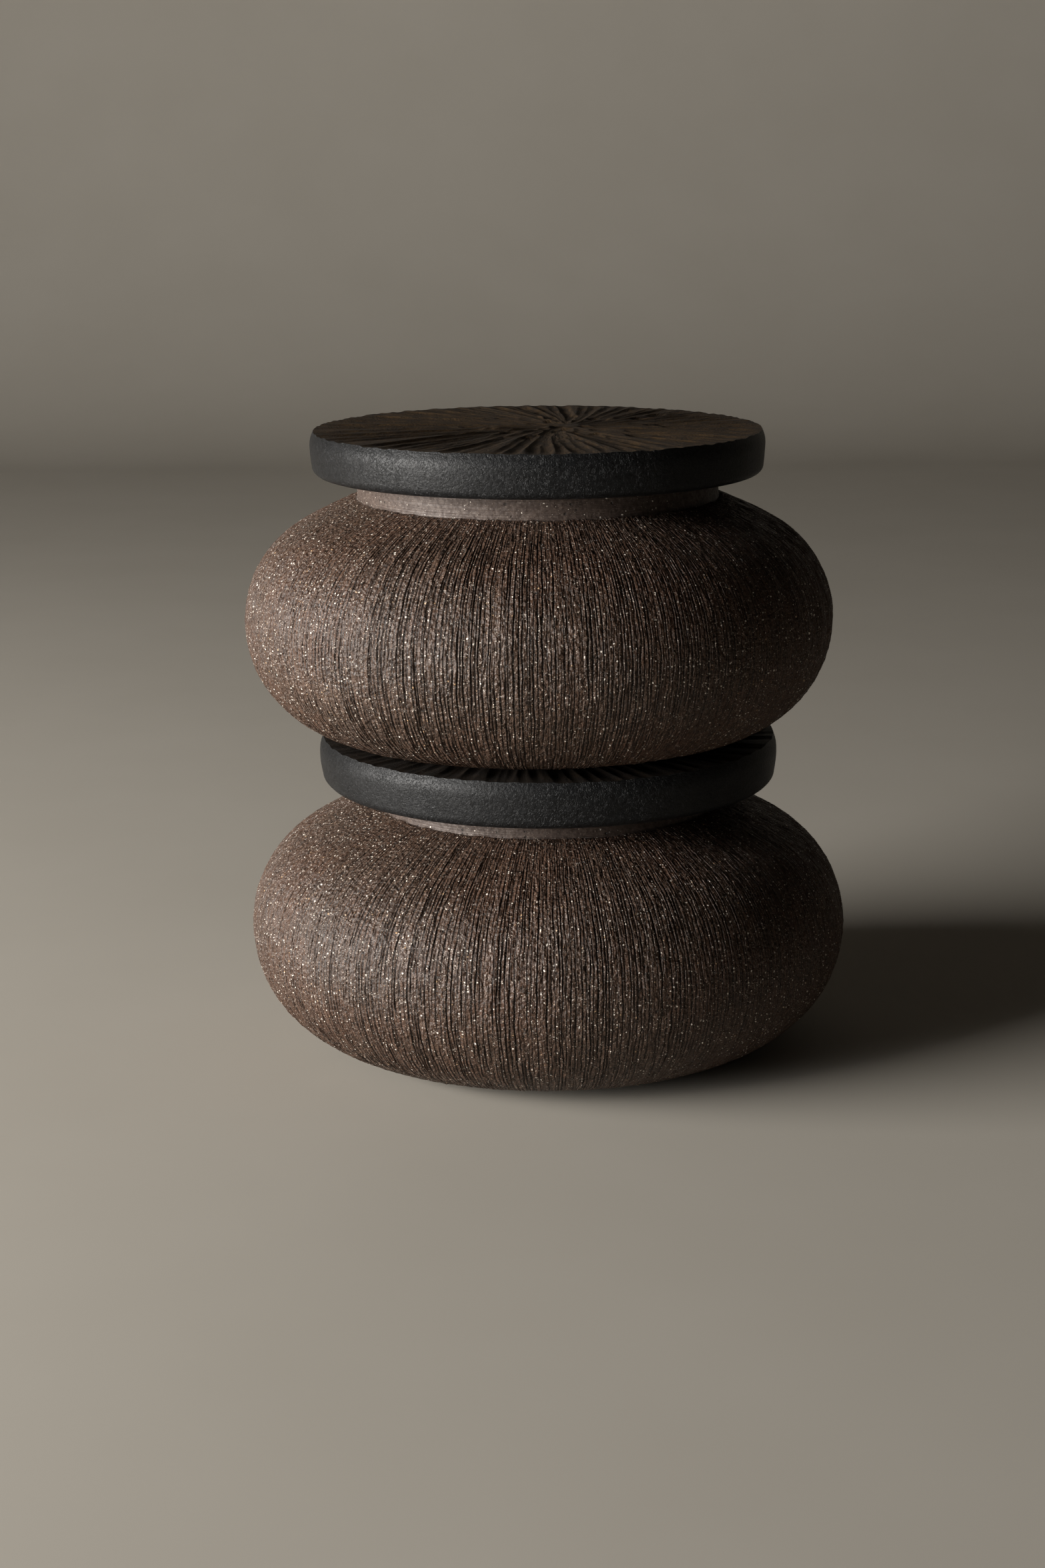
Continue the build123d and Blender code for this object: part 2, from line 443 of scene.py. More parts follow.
def combed_sheet(rng, bowl, body):
    """The combed skin from under the collar down to the foot, and its grooves' angles at the top."""
    total = path_length(body)[-1]
    start_rows = np.array(START_ROWS)
    more = int((total - start_rows[-1]) / ROW_STEP) + 2
    at = np.concatenate([start_rows, np.linspace(start_rows[-1], total, more)[1:]])
    path = resampled(body, at)
    angles, sink, groove_shade = groove_field(rng, bowl, path, at)
    start = SKIN_WANDER * smooth_round(rng, 90, 1, angles[0], [0.0])[0]
    start += rng.normal(0.0, SKIN_FRAY, len(start))
    skin = smoothstep(start - 0.25, start + 0.35, at[:, None])
    skin_end = 1.0 - smoothstep(total - 5.0, total - 1.0, at)[:, None]
    wander = WOBBLE * smooth_round(rng, 5, 3, angles[0], at / total)
    wander += DIMPLE * smooth_round(rng, 17, 9, angles[0], at / total)
    settle = smoothstep(0.0, 6.0, at)[:, None] * skin_end
    offset = -sink * skin * skin_end - SKIN_STEP * (1.0 - skin) + wander * settle
    radii = path[:, :1] + offset * path[:, 2:3]
    heights = path[:, 1:2] + offset * path[:, 3:4]
    column = np.broadcast_to(angles[len(at) // 2], angles.shape)
    along = np.broadcast_to(at[:, None] * FLOW_ALONG, angles.shape)
    flow = np.stack([np.cos(column) * bowl.diameter / 2, np.sin(column) * bowl.diameter / 2, along], axis=-1)
    # the groove attribute carries this painted groove shade to the material
    sheet = Sheet(lathe(radii, heights, angles), COMBED_UV, bands=2, creases=(1, 0, 1),
                  groove=groove_shade * skin * skin_end, skin=skin, flow=flow)
    return sheet, angles[0, 1::GROOVE_COLUMNS]


def smooth_sheet(radii, heights, angles, rect):
    """Rings of a bowl without combed skin."""
    shape = (len(radii), len(angles))
    return Sheet(lathe(radii, heights, angles), rect,
                 groove=np.zeros(shape), skin=np.zeros(shape), flow=np.zeros(shape + (3,)))


def collar_sheet(bowl, angles, fillet_top, hollow, ripple):
    """The mouth, the rounded lip, the collar with its throwing lines, and the fillet below it."""
    lip_base = bowl.lip - LIP_ROUND
    lip_in = arc_path((bowl.mouth + LIP_ROUND, lip_base), LIP_ROUND, math.pi, math.pi / 2, 0.35)
    lip_out = arc_path((bowl.collar - LIP_ROUND, lip_base), LIP_ROUND, math.pi / 2, 0.0, 0.35)
    inner_end = bowl.shoulder_angle(bowl.shoulder - WALL, bowl.mouth)
    inner_neck = bowl.shoulder_c[1] + (bowl.shoulder - WALL) * math.sin(inner_end)
    mouth_r = [bowl.mouth, bowl.mouth]
    mouth_z = [inner_neck, (inner_neck + lip_base) / 2]
    collar_z = np.linspace(lip_base, fillet_top, 7)[1:]
    throwing = 0.05 * np.sin(collar_z * 3.1 + ripple) + 0.03 * np.sin(collar_z * 7.3)
    collar_r = bowl.collar + throwing
    drop = hollow[1:-1]
    sink = np.linspace(0.1, 1.0, len(drop) + 1) * SKIN_STEP * 0.7
    radii = np.concatenate([mouth_r, lip_in[:, 0], lip_out[:, 0], collar_r, drop[:, 0]])
    heights = np.concatenate([mouth_z, lip_in[:, 1], lip_out[:, 1], collar_z, drop[:, 1]])
    heights[-len(sink):] -= sink
    return smooth_sheet(radii, heights, angles, COLLAR_UV)


def inside_sheet(bowl, angles):
    """The floor and the inner wall, up to the neck, with faint throwing rings."""
    inner_end = bowl.shoulder_angle(bowl.shoulder - WALL, bowl.mouth)
    wall = joined([arc_path(bowl.under_c, bowl.underside - WALL, -math.pi / 2, 0.0, 4.0),
                   arc_path(bowl.belly_c, bowl.belly - WALL, 0.0, BELLY_ANGLE, 4.0),
                   arc_path(bowl.shoulder_c, bowl.shoulder - WALL, BELLY_ANGLE, inner_end, 4.0)])
    floor_r = np.linspace(CENTRE_HOLE, bowl.under_c[0], 9)[:-1]
    floor_z = np.full(len(floor_r), FOOT_HEIGHT + WALL)
    radii = np.concatenate([floor_r, wall[:-1, 0]])
    heights = np.concatenate([floor_z, wall[:-1, 1]])
    radii += 0.12 * np.sin(np.arange(len(radii)) * 2.4)
    return smooth_sheet(radii, heights, angles, INSIDE_UV)


def foot_sheet(bowl, angles):
    """The foot ring and the recessed base inside it."""
    outer, inner = bowl.foot_outer, bowl.foot_inner
    radii = [bowl.under_c[0] - 1.5, outer + 0.3, outer, outer - 0.4, (outer + inner) / 2, inner + 0.4,
             inner, inner - 0.5, inner * 0.7, inner * 0.35, CENTRE_HOLE]
    heights = [FOOT_HEIGHT, FOOT_HEIGHT, 0.45, 0.0, 0.0, 0.0, 0.4] + [FOOT_RECESS] * 4
    return smooth_sheet(radii, heights, angles, FOOT_UV)


def bowl_mesh(name, node, seed):
    low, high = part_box(node)
    centre = ((low.x + high.x) / 2, (low.y + high.y) / 2)
    bowl = Bowl((high.x - low.x) / MM, COLLAR_RADIUS[node], (high.z - low.z) / MM)
    fillet_top, hollow, body = bowl.outside()
    combed, angles = combed_sheet(np.random.default_rng(seed), bowl, body)
    collar = collar_sheet(bowl, angles, fillet_top, hollow, seed)
    fewer = angles[::2]
    sheets = [inside_sheet(bowl, fewer), collar, combed, foot_sheet(bowl, fewer)]
    return build_mesh(name, sheets, BOWL_STRIPS_V, centre, low.z), bowl


# ================================================================== lids

class Carving:
    """The carved top of a lid: gouges that all set out from round one eye."""

    def __init__(self, rng, x, y, eye):
        self.rng = rng
        self.reach = np.hypot(x - eye[0], y - eye[1])
        self.around = np.arctan2(y - eye[1], x - eye[0])
        self.swirl = SWIRL * (1.0 - np.exp(-self.reach / SWIRL_REACH))
        self.height = np.full(x.shape, UNCARVED)

    def gouge(self, angle, begin, end, depth, radii, ramp, fade, drift):
        """Cuts a rounded bed that drifts sideways, sinks in over ramp and rises out over fade."""
        reach = self.reach
        wobble = np.interp(reach, np.linspace(0.0, LID_REACH, DRIFT_KNOTS), drift)
        bounce = self.rng.uniform(-CHATTER, CHATTER, CHATTER_KNOTS)
        chatter = np.interp(reach, np.linspace(0.0, LID_REACH, CHATTER_KNOTS), bounce)
        across = (self.around - angle - self.swirl - wobble + math.pi) % TURN - math.pi
        across = across * np.maximum(reach, 0.5)
        bed = across ** 2 / (2 * np.where(across > 0, radii[0], radii[1]))
        enter = smoothstep(begin, begin + ramp, reach)
        leave = 1.0 - smoothstep(end - fade, end, reach)
        level = LIFT_OFF - (LIFT_OFF + depth) * enter * leave + chatter * enter
        self.height = np.minimum(self.height, level + bed)

    def long_gouges(self):
        """From near the eye over the rim; every fourth one starts at the eye itself."""
        rng = self.rng
        gaps = rng.uniform(0.45, 1.55, STROKES)
        for k, angle in enumerate(np.cumsum(gaps) / gaps.sum() * TURN):
            begin = rng.uniform(-3.0, 3.0) if k % 4 == 0 else rng.uniform(4.0, 24.0)
            depth = rng.uniform(0.28, 0.88)
            radii = rng.uniform(1.9, 4.8, 2)
            drift = np.cumsum(rng.uniform(-0.012, 0.012, DRIFT_KNOTS))
            ramp = rng.uniform(4.0, 10.0)
            self.gouge(angle, begin, STROKE_END, depth, radii, ramp, 1.0, drift)

    def short_gouges(self):
        rng = self.rng
        for _ in range(SHORT_STROKES):
            begin = rng.uniform(1.0, 34.0)
            length = rng.uniform(8.0, 22.0)
            depth = rng.uniform(0.45, 1.00)
            radii = rng.uniform(1.8, 4.5, 2)
            drift = np.cumsum(rng.uniform(-0.02, 0.02, DRIFT_KNOTS)) + rng.uniform(-0.12, 0.12)
            angle = rng.uniform(0.0, TURN)
            self.gouge(angle, begin, begin + length, depth, radii, length * 0.35, length * 0.5, drift)

    def grain(self):
        """Coordinates for streaks that run along the gouges."""
        bearing = self.around - self.swirl
        return np.stack([np.cos(bearing) * GRAIN_AROUND, np.sin(bearing) * GRAIN_AROUND,
                         self.reach * GRAIN_ALONG], axis=-1)


def top_grid(rim, eye, spin):
    """Points of the lid's top, in bands of rings that shrink from the rim towards the eye."""
    angle = np.arange(RIM_COLUMNS) / RIM_COLUMNS * TURN + spin
    dx, dy = np.cos(angle), np.sin(angle)
    toward = eye[0] * dx + eye[1] * dy
    ray = -toward + np.sqrt(toward ** 2 - (eye[0] ** 2 + eye[1] ** 2) + rim ** 2)
    grids = []
    for begin, end, step, thin in LID_BANDS:
        count = int(round(((end or rim) - begin) / step))
        share = np.linspace(begin / rim, (end or rim) / rim, count + 1)[:-1]
        if end is None:
            share = np.concatenate([share, [1.0 - RIM_CHAMFER / rim, 1.0]])
        reach = share[:, None] * ray[None, ::thin]
        grids.append((eye[0] + reach * dx[::thin], eye[1] + reach * dy[::thin]))
    return grids


def top_sheets(rng, rim, radius, thickness, eye, spin, brown):
    """The carved top as sheets, from the eye out to the rim."""
    grids = top_grid(rim, eye, spin)
    x = np.concatenate([gx.ravel() for gx, _ in grids])
    y = np.concatenate([gy.ravel() for _, gy in grids])
    carving = Carving(rng, x, y, eye)
    carving.long_gouges()
    carving.short_gouges()
    height = carving.height - carving.height.max()
    height *= 1.0 - RIM_CALM * smoothstep(rim - RIM_CALM_WIDTH, rim, np.hypot(x, y))
    grain = carving.grain()
    sheets, cursor = [], 0
    for gx, gy in grids:
        place = slice(cursor, cursor + gx.size)
        z = thickness + height[place].reshape(gx.shape)
        # carved holds how brown the top is; the lower lid's low value paints its top nearly black as shade
        sheets.append(Sheet(np.stack([gx, gy, z], axis=-1), LID_TOP_UV, planar=radius + 1.0,
                            carved=np.full(gx.shape, brown), grain=grain[place].reshape(gx.shape + (3,))))
        cursor += gx.size
    return sheets


def lid_side_path(radius, thickness):
    """Radii and heights of the side from the top edge down round the lower corner."""
    corner = LID_EDGE_ROUND
    waist = radius - LID_WAIST_INSET
    z = np.linspace(thickness, corner, 11)
    bulge_at = thickness - LID_BULGE_DROP
    above = np.clip((z - bulge_at) / (thickness - bulge_at), 0.0, 1.0)
    under = np.clip((bulge_at - z) / (bulge_at - corner), 0.0, 1.0)
    r = radius - LID_TOP_INSET * above ** 1.8 - LID_WAIST_INSET * under ** 2
    corner_points = arc_path((waist - corner, corner), corner, 0.0, -math.pi / 2, 0.6)
    return np.concatenate([r, corner_points[1:, 0]]), np.concatenate([z, corner_points[1:, 1]])


def side_sheet(rng, radius, thickness, top):
    """The side of the lid, from the gouged edge of its top down and under."""
    edge = top.points[-1]
    theta = np.arctan2(edge[:, 1], edge[:, 0])
    side_r, side_z = lid_side_path(radius, thickness)
    down = 1.0 - (side_z - side_z[-1]) / (side_z[0] - side_z[-1])
    drop = np.maximum(thickness - edge[:, 2], 0.0)
    crush = np.clip((side_z - LID_EDGE_ROUND) / (thickness - LID_EDGE_ROUND), 0.0, 1.0) ** 1.5
    z = side_z[:, None] - drop[None, :] * crush[:, None]
    r = np.interp(-z, -side_z, side_r)
    r[0] += 0.04
    uneven = 0.16 * smooth_round(rng, 9, 2, theta, down)
    uneven += 0.05 * smooth_round(rng, 60, 4, theta, down)
    r += uneven * smoothstep(0.0, 0.2, down)[:, None]
    grain = np.repeat(top.attributes["grain"][-1:], len(r), axis=0)
    sheet = Sheet(lathe(r, z, theta), LID_SIDE_UV, bands=2, rim=True, carved=np.zeros(r.shape), grain=grain)
    return sheet, theta


def under_sheet(bowl, angles):
    """The flat underside and the locating rim that hangs from it."""
    outer = bowl.mouth - SPIGOT_CLEARANCE
    inner = outer - SPIGOT_WALL
    soft, deep = SPIGOT_SOFT, -SPIGOT_DEPTH
    radii = [outer + 4.0, outer + soft, outer, outer, outer - soft, inner + soft, inner, inner, inner - soft,
             inner * 0.75, inner * 0.5, inner * 0.25, 3.0]
    heights = [0.0, 0.0, -soft, deep + soft, deep, deep, deep + soft, -soft] + [0.0] * 5
    shape = (len(radii), len(angles))
    return Sheet(lathe(radii, heights, angles), LID_UNDER_UV,
                 carved=np.zeros(shape), grain=np.zeros(shape + (3,)))


def lid_mesh(name, node, bowl, seed, eye, spin, brown):
    low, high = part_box(node)
    centre = ((low.x + high.x) / 2, (low.y + high.y) / 2)
    radius = (high.x - low.x) / 2 / MM
    thickness = (high.z - low.z) / MM - SPIGOT_DEPTH
    rng = np.random.default_rng(seed)
    sheets = top_sheets(rng, radius - LID_TOP_INSET, radius, thickness, eye, spin, brown)
    side, theta = side_sheet(rng, radius, thickness, sheets[-1])
    sheets += [side, under_sheet(bowl, theta[::4])]
    return build_mesh(name, sheets, LID_STRIPS_V, centre, low.z + SPIGOT_DEPTH * MM)


# ================================================================== materials

class Shader:
    """A material under construction: short ways to add nodes and to link them."""

    def __init__(self, name):
        self.material = bpy.data.materials.new(name)
        self.material.use_nodes = True
        self.tree = self.material.node_tree
        self.tree.nodes.clear()
        self.out = self.tree.nodes.new("ShaderNodeOutputMaterial")
        self.body = self.tree.nodes.new("ShaderNodeBsdfPrincipled")
        self.tree.links.new(self.body.outputs[0], self.out.inputs[0])
        where = self.node("ShaderNodeTexCoord").outputs["Object"]
        scaled = self.node("ShaderNodeVectorMath", {0: where, 1: (1 / MM,) * 3}, operation="MULTIPLY")
        self.place = scaled.outputs[0]          # object coordinates in millimetres

    def feed(self, socket, value):
        """Links a socket to another one, or gives it a fixed value."""
        if isinstance(value, bpy.types.NodeSocket):
            self.tree.links.new(value, socket)
        else:
            socket.default_value = value

    def node(self, kind, inputs=None, **settings):
        made = self.tree.nodes.new(kind)
        for key, value in settings.items():
            setattr(made, key, value)
        for key, value in (inputs or {}).items():
            self.feed(made.inputs[key], value)
        return made

    def math(self, operation, first, second=0.0):
        return self.node("ShaderNodeMath", {0: first, 1: second}, operation=operation).outputs[0]

    def add(self, first, second):
        return self.math("ADD", first, second)

    def less(self, first, second):
        return self.math("SUBTRACT", first, second)

    def times(self, first, second):
        return self.math("MULTIPLY", first, second)

    def ramp(self, value, low, high, to_low=0.0, to_high=1.0, smooth=True):
        made = self.node("ShaderNodeMapRange", {"Value": value, "From Min": low, "From Max": high,
                                                "To Min": to_low, "To Max": to_high})
        made.interpolation_type = "SMOOTHSTEP" if smooth else "LINEAR"
        return made.outputs[0]

    def noise(self, scale, detail=3.0, rough=0.55, where=None, distortion=0.0):
        made = self.node("ShaderNodeTexNoise", {"Vector": where or self.place, "Scale": scale,
                                                "Detail": detail, "Roughness": rough,
                                                "Distortion": distortion})
        return made.outputs["Fac"]

    def mix(self, factor, first, second, blend="MIX"):
        made = self.node("ShaderNodeMix", data_type="RGBA", blend_type=blend)
        for key, value in ((0, factor), (6, first), (7, second)):
            self.feed(made.inputs[key], value)
        return made.outputs[2]

    def shade(self, color, factor):
        """A colour made darker or lighter by a factor."""
        return self.mix(1.0, color, (factor, factor, factor, 1.0), "MULTIPLY")

    def attribute(self, name, socket="Fac"):
        return self.node("ShaderNodeAttribute", attribute_name=name).outputs[socket]

    def bump(self, height, distance):
        inputs = {"Height": height, "Distance": distance * MM, "Strength": 1.0}
        return self.node("ShaderNodeBump", inputs).outputs[0]

    def set(self, **values):
        names = {"color": "Base Color", "roughness": "Roughness", "normal": "Normal",
                 "specular": "Specular IOR Level"}
        for key, value in values.items():
            self.feed(self.body.inputs[names[key]], value)


def specks(s, size, radius, share, where):
    """Grains cut by the surface: 1 inside a grain, and a random value for each grain."""
    cell = s.node("ShaderNodeTexVoronoi", {"Vector": where, "Scale": 1.0 / size})
    chance = s.node("ShaderNodeSeparateColor", {0: cell.outputs["Color"]})
    reach = s.times(cell.outputs["Distance"], size)
    own = s.ramp(chance.outputs[0], 1.0 - share, 1.0, 0.0, radius, smooth=False)
    return s.ramp(s.less(own, reach), 0.0, radius * 0.25), chance.outputs[1]


def jittered(s, scale, amount):
    """Object coordinates pushed about by noise, so that round grains come out ragged."""
    push = s.node("ShaderNodeTexNoise", {"Vector": s.place, "Scale": scale, "Detail": 1.0}).outputs["Color"]
    push = s.node("ShaderNodeVectorMath", {0: push, 1: (amount,) * 3}, operation="MULTIPLY").outputs[0]
    return s.node("ShaderNodeVectorMath", {0: s.place, 1: push}, operation="ADD").outputs[0]


def clay_color(s, skin, crumb, body, line):
    """Brown combed clay, paler and smoother on the collar and inside, with painted shade darkening the
    grooves.
    """
    warm, cool = (0.078, 0.040, 0.024, 1.0), (0.073, 0.042, 0.027, 1.0)
    smooth_dark, smooth_pale = (0.048, 0.031, 0.024, 1.0), (0.094, 0.068, 0.055, 1.0)
    groove_painted_shade = (0.010, 0.0055, 0.0035, 1.0)
    broad = s.noise(0.035, 3.0, 0.55)
    patch = s.noise(0.30, 4.0, 0.6)
    clay = s.mix(s.ramp(broad, 0.35, 0.65), warm, cool)
    clay = s.mix(s.ramp(patch, 0.30, 0.70), s.shade(clay, 0.85), clay)
    clay = s.mix(s.ramp(body, 0.38, 0.62), s.shade(clay, 0.52), s.shade(clay, 1.26))
    smooth_clay = s.mix(s.ramp(crumb, 0.34, 0.66), smooth_dark, smooth_pale)
    clay = s.mix(skin, smooth_clay, clay)
    # painted shade: the broken groove lines darken the colour, for the shadow in the grooves
    return s.mix(s.times(line, 0.80), clay, groove_painted_shade)


def clay_grains(s, skin, clay):
    """Adds pits and two sizes of pale grog; gives back the colour and where grains and pits are."""
    cream, ochre, pit_dark = (0.86, 0.78, 0.68, 1.0), (0.52, 0.34, 0.19, 1.0), (0.010, 0.007, 0.005, 1.0)
    dim, bright = (0.30, 0.22, 0.17, 1.0), (0.74, 0.64, 0.54, 1.0)
    ragged = jittered(s, 2.6, 0.32)
    big, big_tone = specks(s, 0.80, 0.30, 0.50, ragged)
    small, small_tone = specks(s, 0.42, 0.17, 0.90, ragged)
    pits, _ = specks(s, 1.5, 0.40, 0.45, ragged)
    density = s.ramp(s.noise(0.09, 2.0), 0.35, 0.65, 0.60, 1.0)
    rarely = s.times(density, s.ramp(skin, 0.0, 1.0, 0.35, 1.0))
    big_mask = s.times(big, s.math("GREATER_THAN", rarely, s.times(big_tone, 0.9)))
    small_mask = s.times(s.times(small, rarely), 0.9)
    clay = s.mix(s.times(pits, 0.85), clay, pit_dark)
    clay = s.mix(small_mask, clay, s.mix(s.ramp(small_tone, 0.3, 0.9), dim, bright))
    clay = s.mix(big_mask, clay, s.mix(s.ramp(big_tone, 0.74, 0.82), cream, ochre))
    return clay, big_mask, pits


def clay_relief(s, skin, flow, line, grains, pits):
    """Lumps, torn ridges, grains and pits on the combed skin; throwing rings on the smooth parts."""
    lumps = s.noise(0.95, 1.0, 0.5)
    ridges = s.noise(1.3, 1.0, 0.5, where=flow)
    wear = s.less(s.add(lumps, s.times(ridges, 0.7)), s.times(line, 0.25))
    wear = s.mix(skin, s.times(lumps, 0.25), wear)
    relief = s.less(s.add(wear, s.times(grains, 0.22)), s.times(pits, 0.35))
    height_only = s.node("ShaderNodeSeparateXYZ", {0: s.place}).outputs[2]
    thrown = s.node("ShaderNodeCombineXYZ", {2: height_only}).outputs[0]
    rings = s.noise(1.8, 4.0, 0.65, where=thrown)
    return s.add(relief, s.times(rings, s.ramp(skin, 0.0, 1.0, 0.55, 0.0)))


def combed_clay():
    s = Shader("combed_stoneware")
    skin = s.attribute("skin")
    flow = s.attribute("flow", "Vector")
    crumb = s.noise(0.85, 4.0, 0.60)
    streak = s.noise(1.2, 3.0, 0.6, where=flow)
    body = s.add(s.times(crumb, 0.55), s.times(streak, 0.45))
    # the groove lines come from the painted groove shade, broken up by the clay's noise; they darken the
    # colour and dip the bump
    broken = s.add(s.attribute("groove"), s.times(s.less(body, 0.5), 3.4))
    line = s.times(s.ramp(broken, 0.22, 0.50), skin)
    clay, grains, pits = clay_grains(s, skin, clay_color(s, skin, crumb, body, line))
    rough = s.less(s.ramp(body, 0.35, 0.65, 0.66, 0.43), s.times(grains, 0.22))
    relief = clay_relief(s, skin, flow, line, grains, pits)
    s.set(color=clay, roughness=rough, normal=s.bump(relief, 0.75), specular=0.45)
    return s.material


def carved_black():
    """Black leathery side and underside, and a brown top with streaks along its gouges."""
    s = Shader("carved_black_stoneware")
    dark_brown, pale_brown = (0.024, 0.0124, 0.0032, 1.0), (0.057, 0.030, 0.0080, 1.0)
    deep_black, worn_black = (0.0028, 0.0029, 0.0031, 1.0), (0.0070, 0.0073, 0.0080, 1.0)
    painted_glint_color = (0.34, 0.33, 0.32, 1.0)
    carved = s.attribute("carved")
    streak = s.noise(1.0, 4.0, 0.65, where=s.attribute("grain", "Vector"))
    fine = s.noise(1.8, 4.0, 0.65)
    blotch = s.noise(0.16, 3.0, 0.6)
    brown = s.mix(s.ramp(streak, 0.34, 0.68), dark_brown, pale_brown)
    brown = s.mix(s.ramp(blotch, 0.35, 0.70), s.shade(brown, 0.70), brown)
    brown = s.mix(s.ramp(fine, 0.3, 0.72), s.shade(brown, 0.55), s.shade(brown, 1.25))
    black = s.mix(s.ramp(s.noise(0.9, 4.0), 0.3, 0.7), deep_black, worn_black)
    # painted glints: small pale grey specks in the black colour, for sparkles of reflected light
    glint, glint_tone = specks(s, 1.3, 0.12, 0.20, s.place)
    black = s.mix(s.times(glint, s.ramp(glint_tone, 0.4, 0.9)), black, painted_glint_color)

    worm = s.noise(0.75, 2.0, 0.5, distortion=1.6)
    worm = s.ramp(s.math("ABSOLUTE", s.less(worm, 0.5)), 0.0, 0.055)
    worn = s.ramp(s.noise(0.07, 2.0), 0.35, 0.65, 0.45, 1.0)
    leather = s.add(s.times(s.times(worm, worn), 0.42), s.times(s.noise(1.3, 3.0, 0.60), 0.85))
    tool = s.add(s.times(streak, 3.2), s.times(fine, 1.2))
    relief = s.mix(carved, leather, tool)
    # carved mixes the black and the brown; on the lower lid's top its low value is painted shade
    s.set(color=s.mix(carved, black, brown), roughness=s.ramp(carved, 0.0, 1.0, 0.47, 0.95),
          normal=s.bump(relief, 0.19), specular=0.28)
    return s.material


def floor_material():
    s = Shader("pale_floor")
    color = s.mix(s.noise(0.01, 3.0), (0.40, 0.37, 0.32, 1.0), (0.44, 0.41, 0.36, 1.0))
    s.set(color=color, roughness=0.8, specular=0.2)
    return s.material


# ================================================================== the pieces

clay = combed_clay()
carved = carved_black()

# Where a lid's gouges start, off its middle; how far its grid is turned; how brown its top is. The lower
# lid's low brown value is painted shade: its top is kept mostly black for the shadow under the upper bowl,
# which also makes it shinier and gives it less gouge relief.
LOWER_EYE = (-4.0, 3.0)
LOWER_SPIN = 0.4
LOWER_BROWN_WITH_PAINTED_SHADE = 0.28
UPPER_EYE = (6.8, 6.0)
UPPER_SPIN = 0.0
UPPER_BROWN = 1.0

lower_bowl, lower_shape = bowl_mesh("lower_bowl_clay", "lower_bowl", SEED)
upper_bowl, upper_shape = bowl_mesh("upper_bowl_clay", "upper_bowl", SEED + 1)
lower_lid = lid_mesh("lower_lid_clay", "lower_lid", lower_shape, SEED + 2, LOWER_EYE, LOWER_SPIN, LOWER_BROWN_WITH_PAINTED_SHADE)
upper_lid = lid_mesh("upper_lid_clay", "upper_lid", upper_shape, SEED + 3, UPPER_EYE, UPPER_SPIN, UPPER_BROWN)

for thing, node, slot, look in ((lower_bowl, "lower_bowl", "combed_stoneware", clay),
                                (upper_bowl, "upper_bowl", "combed_stoneware", clay),
                                (lower_lid, "lower_lid", "carved_black_stoneware", carved),
                                (upper_lid, "upper_lid", "carved_black_stoneware", carved)):
    thing.data.materials.append(look)
    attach(thing, node)
    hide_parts(node)


# ================================================================== floor, light and camera, metres

FLOOR_FRONT, FLOOR_BACK, FLOOR_HALF_WIDTH = -2.2, 1.9, 3.2
BACKDROP_HEIGHT, BACKDROP_BEND = 2.4, 0.6

WINDOW_PLACE = (-1.24, -0.50, 0.34)
WINDOW_TARGET = (0.0, 0.0, 0.12)
WINDOW_SIZE = (1.0, 0.55)
WINDOW_WATTS = 50.0
WINDOW_COLOR = (1.0, 0.975, 0.94)
FILL_PLACE = (1.3, -1.1, 0.9)
FILL_TARGET = (0.0, 0.0, 0.08)
FILL_SIZE = (1.2, 1.0)
FILL_WATTS = 0.08
FILL_COLOR = (1.0, 0.88, 0.76)
WORLD_COLOR = (1.0, 0.82, 0.64, 1.0)
WORLD_STRENGTH = 0.011

# The camera stands where the photograph was taken from, found from the pieces' outlines.
CAMERA_PLACE = (-0.0069, -0.7043, 0.2456)
CAMERA_PITCH = math.radians(13.927)         # looking down
CAMERA_ROLL = math.radians(0.424)
CAMERA_LENS = 59.86                         # for a 36 mm long side
CAMERA_LONG_SIDE = 36.0


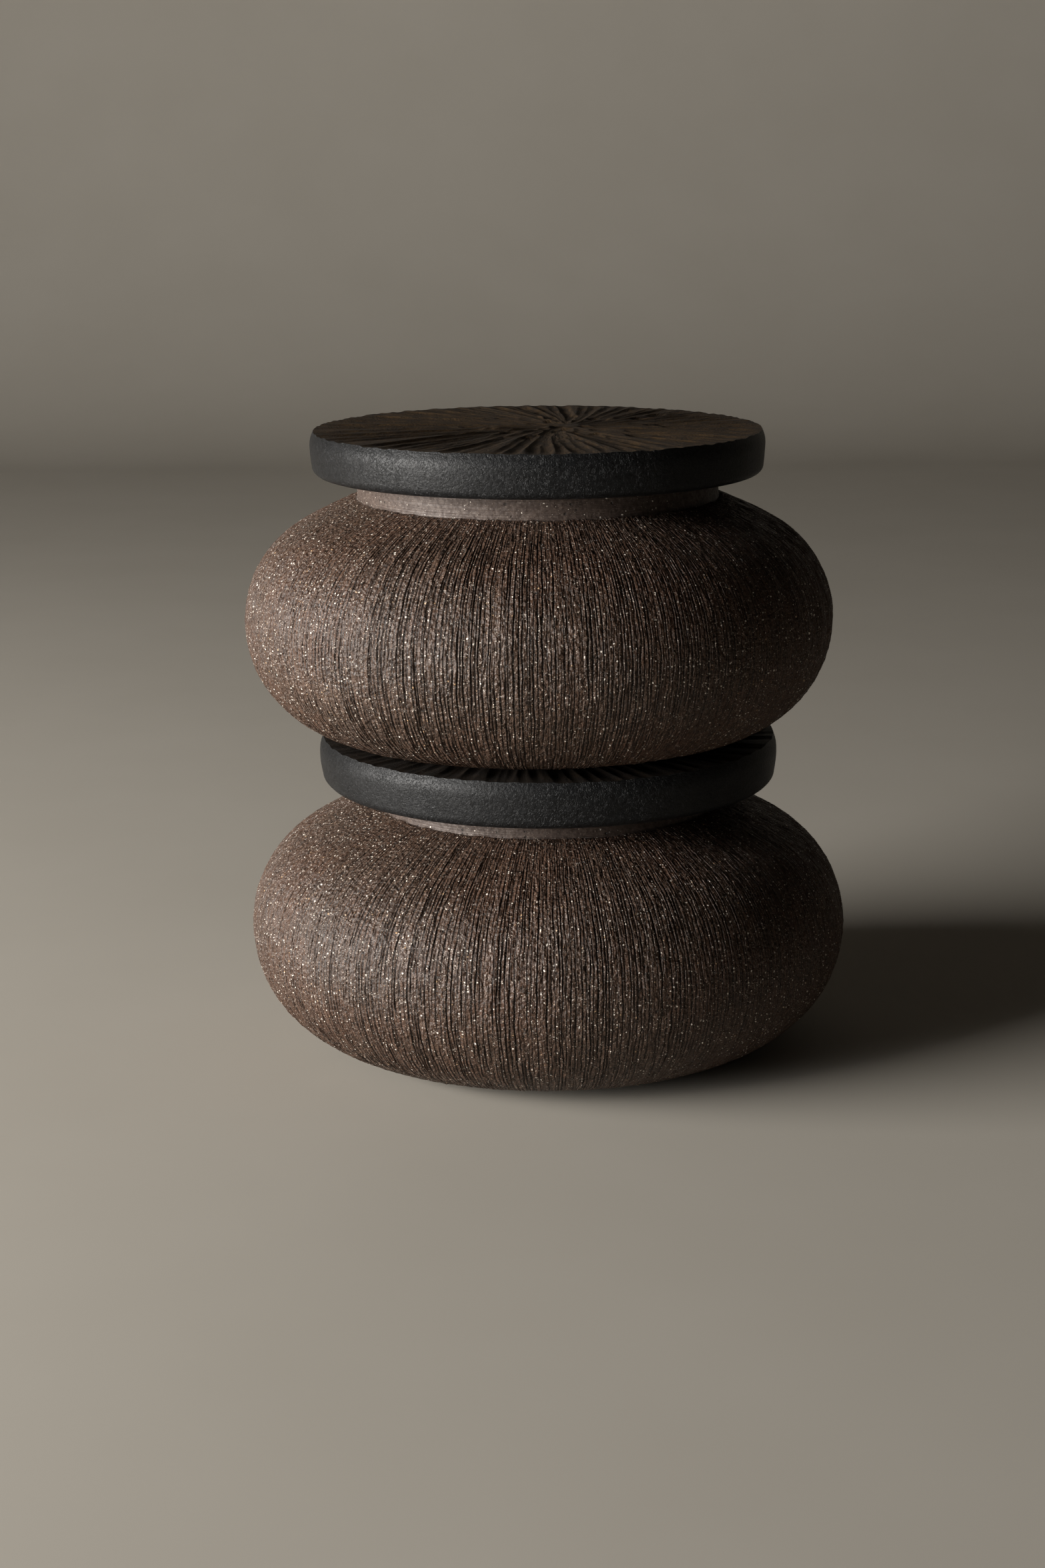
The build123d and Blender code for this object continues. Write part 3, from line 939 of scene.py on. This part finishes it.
def stage_sweep():
    """A pale floor that curves up into a backdrop."""
    steps = np.linspace(0.0, math.pi / 2, 14)
    bend_start = FLOOR_BACK - BACKDROP_BEND
    y = np.concatenate([[FLOOR_FRONT], bend_start + BACKDROP_BEND * np.sin(steps), [FLOOR_BACK]])
    z = np.concatenate([[0.0], BACKDROP_BEND - BACKDROP_BEND * np.cos(steps), [BACKDROP_HEIGHT]])
    points = [(x, a, b) for a, b in zip(y, z) for x in (-FLOOR_HALF_WIDTH, FLOOR_HALF_WIDTH)]
    faces = [(2 * k, 2 * k + 1, 2 * k + 3, 2 * k + 2) for k in range(len(y) - 1)]
    mesh = bpy.data.meshes.new("studio_floor")
    mesh.from_pydata(points, [], faces)
    mesh.polygons.foreach_set("use_smooth", [True] * len(faces))
    floor = bpy.data.objects.new("studio_floor", mesh)
    bpy.context.scene.collection.objects.link(floor)
    mesh.materials.append(floor_material())


def area_light(name, place, target, size, power, color):
    light = bpy.data.lights.new(name, "AREA")
    light.shape = "RECTANGLE"
    light.size, light.size_y = size
    light.energy = power
    light.color = color
    lamp = bpy.data.objects.new(name, light)
    lamp.location = place
    lamp.rotation_euler = (Vector(target) - Vector(place)).to_track_quat("-Z", "Y").to_euler()
    bpy.context.scene.collection.objects.link(lamp)


def world_light():
    world = bpy.data.worlds.new("studio")
    world.use_nodes = True
    background = world.node_tree.nodes["Background"]
    background.inputs[0].default_value = WORLD_COLOR
    background.inputs[1].default_value = WORLD_STRENGTH
    bpy.context.scene.world = world


def place_camera():
    lens = bpy.data.cameras.new("camera")
    lens.lens = CAMERA_LENS
    lens.sensor_width = CAMERA_LONG_SIDE
    lens.clip_start = 0.01
    camera = bpy.data.objects.new("camera", lens)
    camera.location = CAMERA_PLACE
    tilt = Euler((math.pi / 2 - CAMERA_PITCH, 0.0, 0.0)).to_matrix()
    roll = Euler((0.0, 0.0, -CAMERA_ROLL)).to_matrix()
    camera.rotation_euler = (tilt @ roll).to_euler()
    bpy.context.scene.collection.objects.link(camera)
    bpy.context.scene.camera = camera


stage_sweep()
area_light("window", WINDOW_PLACE, WINDOW_TARGET, WINDOW_SIZE, WINDOW_WATTS, WINDOW_COLOR)
area_light("fill", FILL_PLACE, FILL_TARGET, FILL_SIZE, FILL_WATTS, FILL_COLOR)
world_light()
bpy.context.scene.view_settings.view_transform = "Standard"
place_camera()
